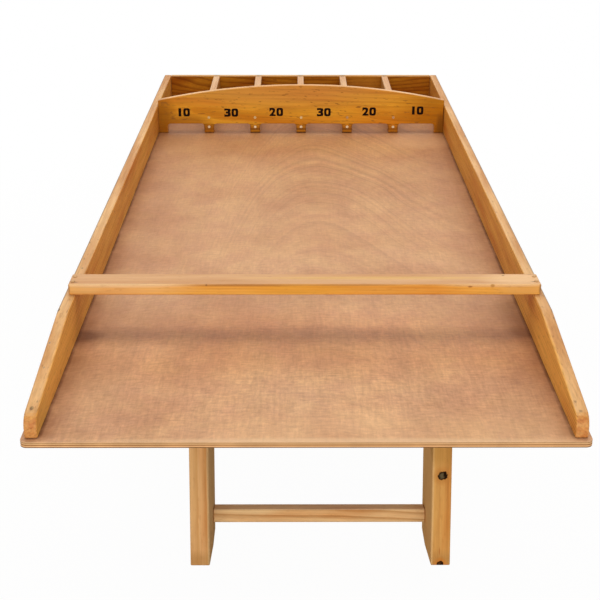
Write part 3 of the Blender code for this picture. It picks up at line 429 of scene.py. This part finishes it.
def plywoodMaterial(name, ply):
    material, tree, shader = newMaterial(name)
    low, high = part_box("playing_board")
    place = addNode(tree, coordinates, {}, "Object")
    x, y, z = [addNode(tree, splitter, {"Vector": place}, axis) for axis in "XYZ"]

    # contours of the rotary cut: skewed arches that drift
    wide = addNode(tree, mapping, {"Vector": place, "Scale": (1.2, 0.7, 0.2)})
    drift = addNode(tree, noise, {
        "Vector": wide, "Scale": 1 / ply["driftSize"], "Detail": 2.0, "Roughness": 0.45})
    across = addNode(tree, maths, {0: x, 1: ply["archX"]}, operation="SUBTRACT")
    bend = addNode(tree, maths, {0: across, 1: across}, operation="MULTIPLY")
    steepness = addNode(tree, maths, {0: across, 1: ply["archSkew"], 2: ply["archBend"]},
                        operation="MULTIPLY_ADD")
    arch = addNode(tree, maths, {0: bend, 1: steepness, 2: y}, operation="MULTIPLY_ADD")
    contour = addNode(tree, maths, {0: drift, 1: ply["drift"], 2: arch}, operation="MULTIPLY_ADD")
    figure = addNode(tree, noise, {
        "W": contour, "Scale": 1 / ply["figure"], "Detail": 3.0, "Roughness": 0.65}, noise_dimensions="1D")

    # fibres straight across the board, straying a little
    wander = addNode(tree, noise, {"Vector": place, "Scale": 1 / ply["wanderSize"], "Detail": 1.0})
    sweep = addNode(tree, mix, {0: ply["sweepShare"], 2: y, 3: contour})
    sweep = addNode(tree, maths, {0: wander, 1: ply["wander"], 2: sweep}, operation="MULTIPLY_ADD")
    swept = addNode(tree, "ShaderNodeCombineXYZ", {"X": x, "Y": sweep})

    # mottled veneer, arches, then each layer of fibres
    blotch = addNode(tree, noise, {
        "Vector": place, "Scale": 1 / ply["mottleSize"], "Detail": 4.0, "Roughness": 0.6})
    mottled = addNode(tree, mapRange, {"Value": blotch, "From Min": 0.34, "From Max": 0.62})
    colour = addNode(tree, mix, {0: mottled, 6: linear(ply["rosy"]), 7: linear(ply["base"])}, 2, **blend)
    showing = [addNode(tree, mapRange, {
        "Value": x if axis == "X" else y, "From Min": start, "From Max": end,
        "To Min": startShare, "To Max": endShare})
        for axis, (start, startShare), (end, endShare) in ply["archShows"]]
    strength = addNode(tree, maths, {0: showing[0], 1: showing[1]}, operation="MULTIPLY")
    strength = addNode(tree, maths, {0: strength, 1: showing[2]}, operation="MULTIPLY")
    shades = addNode(tree, ramp, {"Fac": figure}, stops=[(0.30, 0.85), (0.5, 1.0), (0.72, 1.10)])
    colour = addNode(tree, mix, {0: strength, 6: colour, 7: shades}, 2, **multiply)
    (near, nearShare), (far, farShare) = ply["played"]
    played = addNode(tree, mapRange, {
        "Value": y, "From Min": near, "From Max": far, "To Min": nearShare, "To Max": farShare})
    fibres = {}
    for key, layer in ply["layers"].items():
        space = addNode(tree, mapping, {
            "Vector": swept if layer["swept"] else place, "Scale": layer["stretch"]})
        fibres[key] = addNode(tree, noise, {
            "Vector": space, "Scale": 1 / layer["size"],
            "Detail": layer["detail"], "Roughness": layer["rough"]})
        shades = addNode(tree, ramp, {"Fac": fibres[key]}, stops=layer["shades"])
        colour = addNode(tree, mix, {0: played, 6: colour, 7: shades}, 2, **multiply)
    tinge = addNode(tree, ramp, {"Fac": fibres["clouds"]}, stops=[(0.40, ply["pink"]), (0.60, ply["straw"])])
    colour = addNode(tree, mix, {0: 1.0, 6: colour, 7: tinge}, 2, **multiply)

    # far end, then painted shade in the compartments and at the foot of the gates
    farEnd = addNode(tree, mapRange, {"Value": y, "From Min": -0.75, "From Max": gateFront})
    colour = addNode(tree, mix, {0: farEnd, 6: colour, 7: linear(ply["farTint"])}, 2, **multiply)
    # painted shade in the compartments behind the gates
    compartmentShade = addNode(tree, mapRange, {
        "Value": y, "From Min": gateFront - 12 * mm, "From Max": gateFront + 6 * mm})
    colour = addNode(tree, mix, {0: compartmentShade, 6: colour, 7: linear(ply["compartmentShadeTint"])}, 2, **multiply)
    # painted shade on the bed along the foot of the gates
    gateFoot = addNode(tree, maths, {0: y, 1: gateFront - 2 * mm}, operation="SUBTRACT")
    gateFoot = addNode(tree, maths, {0: gateFoot}, operation="ABSOLUTE")
    gateFoot = addNode(tree, mapRange, {
        "Value": gateFoot, "From Min": ply["gateReach"][1], "From Max": ply["gateReach"][0],
        "To Max": ply["gateFootShade"]})
    colour = addNode(tree, mix, {0: gateFoot, 6: colour, 7: linear(ply["dirtAndShade"])}, 2, **blend)

    # dirt and painted shade along the rails, darkest in the corner, and a dark line at their foot
    side = addNode(tree, maths, {0: x}, operation="ABSOLUTE")
    nearRail = addNode(tree, mapRange, {
        "Value": side, "From Min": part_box("right_rail")[0].x - ply["dirtAndShadeReach"],
        "From Max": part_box("right_rail")[0].x})
    dirtAndShade = addNode(tree, ramp, {"Fac": nearRail}, stops=[(0.0, 0.0), (0.7, 0.22), (0.95, 0.5), (0.985, 0.9)])
    uneven = addNode(tree, noise, {"Vector": place, "Scale": 1 / (45 * mm), "Detail": 4.0, "Roughness": 0.65})
    uneven = addNode(tree, mapRange, {
        "Value": uneven, "From Min": 0.3, "From Max": 0.7, "To Min": 1.4, "To Max": 0.4})
    railLow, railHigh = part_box("right_rail")
    behindNose = addNode(tree, mapRange, {
        "Value": y, "From Min": railLow.y - 4 * mm, "From Max": railLow.y + 10 * mm})
    inside = addNode(tree, mapRange, {"Value": side, "From Min": railHigh.x, "From Max": railHigh.x - 2 * mm})
    uneven = addNode(tree, maths, {0: uneven, 1: behindNose}, operation="MULTIPLY")
    uneven = addNode(tree, maths, {0: uneven, 1: inside}, operation="MULTIPLY")
    dirtAndShade = addNode(tree, maths, {0: dirtAndShade, 1: uneven}, operation="MULTIPLY")
    colour = addNode(tree, mix, {0: dirtAndShade, 6: colour, 7: linear(ply["dirtAndShade"])}, 2, **blend)
    # a dark line at the rails' foot: dirt and painted contact shade
    crack = addNode(tree, mapRange, {
        "Value": side, "From Min": railLow.x - 5 * mm, "From Max": railLow.x - 2 * mm,
        "To Max": ply["crackShare"]})
    crack = addNode(tree, maths, {0: crack, 1: uneven}, operation="MULTIPLY", use_clamp=True)
    rightSide = addNode(tree, mapRange, {"Value": x, "From Min": -0.3, "From Max": 0.3, "To Min": 0.8})
    crack = addNode(tree, maths, {0: crack, 1: rightSide}, operation="MULTIPLY")
    colour = addNode(tree, mix, {0: crack, 6: colour, 7: linear(ply["crack"])}, 2, **blend)

    # painted shadow of the crossbar, then patches of dirt, wear and painted shadow
    barShadow = addNode(tree, maths, {0: y, 1: ply["barShadowMiddle"]}, operation="SUBTRACT")
    barShadow = addNode(tree, maths, {0: barShadow}, operation="ABSOLUTE")
    barShadow = addNode(tree, mapRange, {
        "Value": barShadow, "From Min": ply["barShadowReach"][1], "From Max": ply["barShadowReach"][0]})
    colour = addNode(tree, mix, {0: barShadow, 6: colour, 7: linear(ply["barShadowTint"])}, 2, **multiply)
    for patch in ply["patches"]:
        colour = markOn(tree, place, colour, patch)

    # plies on the sawn edges
    level = addNode(tree, mapRange, {"Value": z, "From Min": low.z, "From Max": high.z})
    plies = addNode(tree, ramp, {"Fac": level}, stops=[
        (0.0, ply["underside"]), (0.12, ply["underside"]), (0.18, ply["plyLight"]), (0.40, ply["plyLight"]),
        (0.45, ply["plyDark"]), (0.56, ply["plyDark"]), (0.61, ply["plyPale"]), (0.78, ply["plyPale"]),
        (0.83, ply["plyDark"]), (0.90, ply["plyDark"]), (0.95, ply["veneer"])])
    sawn = addNode(tree, ramp, {"Fac": fibres["dashes"]}, stops=[(0.3, 0.86), (0.7, 1.08)])
    plies = addNode(tree, mix, {0: 1.0, 6: plies, 7: sawn}, 2, **multiply)
    flat = addNode(tree, splitter, {"Vector": addNode(tree, coordinates, {}, "Normal")}, "Z")
    flat = addNode(tree, maths, {0: flat}, operation="ABSOLUTE")
    flat = addNode(tree, mapRange, {"Value": flat, "From Min": 0.45, "From Max": 0.55})
    colour = addNode(tree, mix, {0: flat, 6: plies, 7: colour}, 2, **blend)
    tree.links.new(colour, shader.inputs["Base Color"])
    sheen = addNode(tree, mapRange, {
        "Value": fibres["streaks"], "From Min": 0.3, "From Max": 0.7, "To Min": 0.56, "To Max": 0.44})
    tree.links.new(sheen, shader.inputs["Roughness"])
    relief = addNode(tree, "ShaderNodeBump", {
        "Height": fibres["streaks"], "Strength": 0.08, "Distance": ply["relief"]})
    tree.links.new(relief, shader.inputs["Normal"])
    shader.inputs["IOR"].default_value = 1.5
    shader.inputs["Specular IOR Level"].default_value = 0.18
    return material


print("plywood bed")
dress("playing_board", plywoodMaterial("rotaryCutPlywood", plyBoard))

# Steel of nails and bolts: bright drawn wire with a little dulling, or old iron gone brown under the varnish
steels = {"bright": {"dull": "#BFB092", "clean": "#E3D3AE", "rough": 0.40, "metallic": 0.9},
          "dulled": {"dull": "#BEA168", "clean": "#DFC48C", "rough": 0.50, "metallic": 0.6},
          "zinc": {"dull": "#8F8E88", "clean": "#C4C2BA", "rough": 0.38, "metallic": 1.0},
          "brown": {"dull": "#7E5B36", "clean": "#AD8252", "rough": 0.6, "metallic": 0.2},
          "varnished": {"dull": "#A87C4C", "clean": "#CB9F69", "rough": 0.5, "metallic": 0.1}}
varnishedOver = ("gate_nail_4_high", "gate_nail_5_high")  # upper nails that the varnish has covered


def steelMaterial(name, steel):
    material, tree, shader = newMaterial(name)
    place = addNode(tree, coordinates, {}, "Object")
    dulling = addNode(tree, noise, {"Vector": place, "Scale": 1 / (1.5 * mm), "Detail": 3.0})
    tone = addNode(tree, ramp, {"Fac": dulling}, stops=[(0.35, steel["dull"]), (0.6, steel["clean"])])
    tree.links.new(tone, shader.inputs["Base Color"])
    sheen = addNode(tree, mapRange, {
        "Value": dulling, "To Min": steel["rough"] + 0.2, "To Max": steel["rough"]})
    tree.links.new(sheen, shader.inputs["Roughness"])
    shader.inputs["Metallic"].default_value = steel["metallic"]
    return material


print("steel")
brightWire = steelMaterial("drawnWire", steels["bright"])
dulledWire = steelMaterial("varnishedWire", steels["dulled"])
zincSteel = steelMaterial("zincPlate", steels["zinc"])
brownIron = steelMaterial("brownedIron", steels["brown"])
varnishedIron = steelMaterial("varnishedIron", steels["varnished"])
for name in nodes:
    if name in varnishedOver or name.startswith("crossbar_"):
        dress(name, varnishedIron)
    elif name.startswith("gate_nail"):
        dress(name, brightWire if name.endswith("low") else dulledWire)
    elif "_pivot_" in name and not name.endswith("block"):
        dress(name, zincSteel)
    elif name.endswith("screw"):
        dress(name, brownIron)

# Fixings from hidden sides: slotted screws up into the rails and bed, nails through the rails and back board
fixings = {"screw": 8 * mm, "proud": 0.8 * mm, "slot": 1.2 * mm, "floor": 0.25 * mm,
           "nail": 5 * mm, "crown": 0.7 * mm, "heights": (0.018, 0.054),  # of the nails, above the bed
           "railScrews": 7, "railEnd": 0.07, "bearerReach": (0.15, 0.055)}


def screwHead():  # two half discs with a driver slot between them, on a thin disc
    shape = bmesh.new()
    radius, height = fixings["screw"] / 2, fixings["proud"]
    bmesh.ops.create_cone(shape, cap_ends=True, segments=24, radius1=radius, radius2=radius * 0.86,
                          depth=height, matrix=Matrix.Translation((0, 0, height / 2)))
    bmesh.ops.bisect_plane(shape, geom=shape.verts[:] + shape.edges[:] + shape.faces[:], dist=0.01 * mm,
                           plane_co=(fixings["slot"] / 2, 0, 0), plane_no=(1, 0, 0), clear_inner=True)
    bmesh.ops.holes_fill(shape, edges=[edge for edge in shape.edges if edge.is_boundary])
    bmesh.ops.mirror(shape, geom=shape.verts[:] + shape.edges[:] + shape.faces[:], axis="X",
                     merge_dist=0.01 * mm)
    bmesh.ops.create_cone(shape, cap_ends=True, segments=24, radius1=radius * 0.97, radius2=radius * 0.97,
                          depth=fixings["floor"], matrix=Matrix.Translation((0, 0, fixings["floor"] / 2)))
    return shape


def nailHead():  # a low crowned disc
    shape = bmesh.new()
    radius, height = fixings["nail"] / 2, fixings["crown"]
    bmesh.ops.create_cone(shape, cap_ends=True, segments=16, radius1=radius, radius2=radius, depth=height,
                          matrix=Matrix.Translation((0, 0, height / 2)))
    rim = [edge for edge in shape.edges if all(vert.co.z > height * 0.9 for vert in edge.verts)]
    bmesh.ops.bevel(shape, geom=rim, offset=height * 0.7, offset_type="OFFSET", affect="EDGES", segments=2,
                    profile=0.5, material=-1)
    return shape


def placeHeads(name, head, spots, material):  # spots are a point on a face and the way that the face looks
    bmesh.ops.recalc_face_normals(head, faces=head.faces)
    single = bpy.data.meshes.new(name + "_single")
    head.to_mesh(single)
    head.free()
    shape = bmesh.new()
    for number, (point, outward) in enumerate(spots):
        before = len(shape.verts)
        shape.from_mesh(single)
        shape.verts.ensure_lookup_table()
        turn = Matrix.Rotation(radians(37 * number), 4, "Z")  # slots stand at odd angles
        stand = Vector((0, 0, 1)).rotation_difference(Vector(outward)).to_matrix().to_4x4()
        bmesh.ops.transform(shape, verts=shape.verts[before:],
                            matrix=Matrix.Translation(point) @ stand @ turn)
    mesh = bpy.data.meshes.new(name)
    shape.to_mesh(mesh)
    shape.free()
    bpy.data.meshes.remove(single)
    mesh.materials.append(material)
    piece = bpy.data.objects.new(name, mesh)
    bpy.context.scene.collection.objects.link(piece)
    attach(piece, "board")


print("fixings")
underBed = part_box("playing_board")[0].z
railScrews, railNails, backNails, bearerScrews = [], [], [], []
for name, side in (("left_rail", -1), ("right_rail", 1)):
    low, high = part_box(name)
    middleX = (low.x + high.x) / 2
    outerX = low.x if side < 0 else high.x
    span = high.y - low.y - 2 * fixings["railEnd"]
    for number in range(fixings["railScrews"]):
        along = low.y + fixings["railEnd"] + span * number / (fixings["railScrews"] - 1)
        railScrews.append(((middleX, along, underBed), (0, 0, -1)))
    for board in ((backLow + backHigh) / 2, (gateLow + gateHigh) / 2):
        for height in fixings["heights"]:
            railNails.append(((outerX, board.y, deckTop + height), (side, 0, 0)))
for number in range(1, 6):
    low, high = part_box(f"divider_{number}")
    for height in fixings["heights"]:
        backNails.append((((low.x + high.x) / 2, backHigh.y, deckTop + height), (0, 1, 0)))
reachX, reachY = fixings["bearerReach"]
for place in ("front", "rear"):
    low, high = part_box(f"{place}_bearer")
    middle = (low + high) / 2
    for stepX in (-1, 0, 1):
        for stepY in (-1, 1):
            point = (middle.x + stepX * reachX, middle.y + stepY * reachY, low.z)
            bearerScrews.append((point, (0, 0, -1)))
placeHeads("rail_screw_heads", screwHead(), railScrews, zincSteel)
placeHeads("bearer_screw_heads", screwHead(), bearerScrews, zincSteel)
placeHeads("rail_nail_heads", nailHead(), railNails, brownIron)
placeHeads("back_nail_heads", nailHead(), backNails, brownIron)

# Score numbers, stencilled in black paint on the gate board
scores = {"texts": ("10", "30", "20", "30", "20", "10"),
          "places": (-0.309, -0.1848, -0.0658, 0.060, 0.1798, 0.3082),
          "rises": (-2.0 * mm, -2.8 * mm, -1.0 * mm, -1.5 * mm, 0.3 * mm, 3.1 * mm),  # not quite level
          "widths": {"0": 17.4 * mm, "1": 7.0 * mm, "2": 16.4 * mm, "3": 16.8 * mm},
          "gaps": {"0": 0, "1": 5.6 * mm, "2": 2.2 * mm, "3": 2.2 * mm},
          "square": {"0": 0.32, "1": 0.0, "2": 0.2, "3": 0.2},
          "bold": {"0": 0.043, "1": 0.040, "2": 0.050, "3": 0.048},
          "height": 22 * mm, "above": 57.5 * mm, "film": 0.15 * mm, "ink": "#140604", "rubbed": "#24130A"}


def blackPaint(name):  # matt stencil paint, a little rubbed
    material, tree, shader = newMaterial(name)
    place = addNode(tree, coordinates, {}, "Object")
    worn = addNode(tree, noise, {"Vector": place, "Scale": 1 / (2 * mm), "Detail": 3.0})
    tone = addNode(tree, ramp, {"Fac": worn}, stops=[(0.35, scores["ink"]), (0.75, scores["rubbed"])])
    tree.links.new(tone, shader.inputs["Base Color"])
    shader.inputs["Roughness"].default_value = 0.7
    shader.inputs["Specular IOR Level"].default_value = 0.05
    return material


def scoreNumber(number, text, x, rise):
    left = x - sum(scores["widths"][digit] + scores["gaps"][digit] for digit in text) / 2
    middleZ = deckTop + scores["above"] + rise
    shape = bmesh.new()
    for digit in text:
        curve = bpy.data.curves.new("digit", "FONT")
        curve.body = digit
        curve.offset = scores["bold"][digit]
        curve.extrude = 0.5
        drawn = bpy.data.objects.new("digit", curve)
        bpy.context.scene.collection.objects.link(drawn)
        bpy.context.view_layer.update()
        outline = bpy.data.meshes.new_from_object(drawn.evaluated_get(bpy.context.evaluated_depsgraph_get()))
        bpy.data.objects.remove(drawn)
        before = len(shape.verts)
        shape.from_mesh(outline)
        bpy.data.meshes.remove(outline)
        shape.verts.ensure_lookup_table()
        verts = shape.verts[before:]
        low = Vector([min(vert.co[axis] for vert in verts) for axis in range(3)])
        high = Vector([max(vert.co[axis] for vert in verts) for axis in range(3)])
        square, width = scores["square"][digit], scores["widths"][digit]
        for vert in verts:  # bowls pushed outwards at their corners, for a squarer figure
            u, v, depth = [
                2 * (vert.co[axis] - low[axis]) / (high[axis] - low[axis]) - 1 for axis in range(3)]
            across = max(-1, min(1, u * (1 + square * v * v)))
            upward = max(-1, min(1, v * (1 + square * u * u)))
            vert.co = (left + width * (across + 1) / 2, gateFront - scores["film"] * (depth + 1) / 2,
                       middleZ + scores["height"] * upward / 2)
        left += width + scores["gaps"][digit]
    bmesh.ops.remove_doubles(shape, verts=shape.verts, dist=0.02 * mm)
    bmesh.ops.recalc_face_normals(shape, faces=shape.faces)
    mesh = bpy.data.meshes.new(f"score_{number}")
    shape.to_mesh(mesh)
    shape.free()
    mesh.materials.append(scorePaint)
    piece = bpy.data.objects.new(f"score_{number}", mesh)
    bpy.context.scene.collection.objects.link(piece)
    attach(piece, "board")


print("score numbers")
scorePaint = blackPaint("blackPaint")
for number, (text, x, rise) in enumerate(zip(scores["texts"], scores["places"], scores["rises"]), 1):
    scoreNumber(number, text, x, rise)

# Camera, as the photograph was taken
print("camera and studio")
view = {"lens": 70.8, "sensor": 36.0, "place": (-0.0161, -2.436, deckTop + 0.8367),
        "pitch": radians(23.353), "yaw": radians(0.227), "roll": radians(-0.073)}
camera = bpy.data.objects.new("camera", bpy.data.cameras.new("camera"))
bpy.context.scene.collection.objects.link(camera)
camera.data.lens = view["lens"]
camera.data.sensor_width = view["sensor"]
camera.location = view["place"]
camera.rotation_euler = (pi / 2 - view["pitch"], view["roll"], -view["yaw"])
bpy.context.scene.camera = camera

# Studio: white card floor and white surround, a large soft lamp above and behind, a wide one overhead that
# gives the crossbar its shadow, and a broad front fill
studio = {"floorSize": 60.0, "floor": "#DBD7D1", "surround": 0.6,
          "nearGlow": 0.97, "nearReach": 1.0, "farReach": 2.6,  # the card is plain white away from the object
          "top": {"place": (0.0, 1.9, 3.5), "aim": (0, 0.2, 0.5), "size": (4.5, 4.5), "power": 47},
          "over": {"place": (0.0, 0.3, 3.4), "aim": (0, 0, 0.5), "size": (3.0, 1.4), "power": 31},
          "front": {"place": (0.0, -5.0, 1.9), "aim": (0, 0, 0.5), "size": (3.6, 3.6), "power": 124}}


def seenPlainly(tree):  # 1 for rays from the camera and for those that metal or glass sends on
    direct, glossy, through = [addNode(tree, "ShaderNodeLightPath", {}, kind) for kind in (
        "Is Camera Ray", "Is Glossy Ray", "Is Transmission Ray")]
    sent = addNode(tree, maths, {0: glossy, 1: through}, operation="MAXIMUM")
    return addNode(tree, maths, {0: direct, 1: sent}, operation="MAXIMUM")


def floorMaterial(name):  # matt white card: white to the eye, with the object's shadow left faintly on it
    material, tree, shader = newMaterial(name)
    shader.inputs["Base Color"].default_value = linear(studio["floor"])
    shader.inputs["Roughness"].default_value = 0.9
    shader.inputs["Specular IOR Level"].default_value = 0.0
    place = addNode(tree, coordinates, {}, "Object")
    reach = addNode(tree, vectors, {0: place}, "Value", operation="LENGTH")
    glow = addNode(tree, mapRange, {
        "Value": reach, "From Min": studio["nearReach"], "From Max": studio["farReach"],
        "To Min": studio["nearGlow"]}, interpolation_type="SMOOTHSTEP")
    share = addNode(tree, maths, {0: seenPlainly(tree), 1: glow}, operation="MULTIPLY")
    white = addNode(tree, "ShaderNodeEmission", {"Strength": 1.0})
    mixed = addNode(tree, "ShaderNodeMixShader", {0: share, 1: shader.outputs[0], 2: white})
    tree.links.new(mixed, tree.nodes["Material Output"].inputs["Surface"])
    return material


floorShape = bmesh.new()
bmesh.ops.create_grid(floorShape, x_segments=1, y_segments=1, size=studio["floorSize"] / 2)
bmesh.ops.translate(floorShape, verts=floorShape.verts, vec=(0, 0, -0.5 * mm))
floorMesh = bpy.data.meshes.new("floor")
floorShape.to_mesh(floorMesh)
floorShape.free()
floor = bpy.data.objects.new("floor", floorMesh)
bpy.context.scene.collection.objects.link(floor)
floorMesh.materials.append(floorMaterial("whiteCard"))

world = bpy.data.worlds.new("studio")
bpy.context.scene.world = world
world.use_nodes = True
background = world.node_tree.nodes["Background"]
background.inputs["Color"].default_value = (1, 1, 1, 1)
surround = addNode(world.node_tree, mapRange, {
    "Value": seenPlainly(world.node_tree), "To Min": studio["surround"]})
world.node_tree.links.new(surround, background.inputs["Strength"])

for name in ("top", "over", "front"):
    lamp = bpy.data.lights.new(name, "AREA")
    lamp.shape = "RECTANGLE"
    lamp.size, lamp.size_y = studio[name]["size"]
    lamp.energy = studio[name]["power"]
    lampObject = bpy.data.objects.new(name, lamp)
    bpy.context.scene.collection.objects.link(lampObject)
    lampObject.location = studio[name]["place"]
    away = Vector(studio[name]["place"]) - Vector(studio[name]["aim"])
    lampObject.rotation_euler = away.to_track_quat("Z", "Y").to_euler()

bpy.context.scene.view_settings.view_transform = "Standard"
print("done")
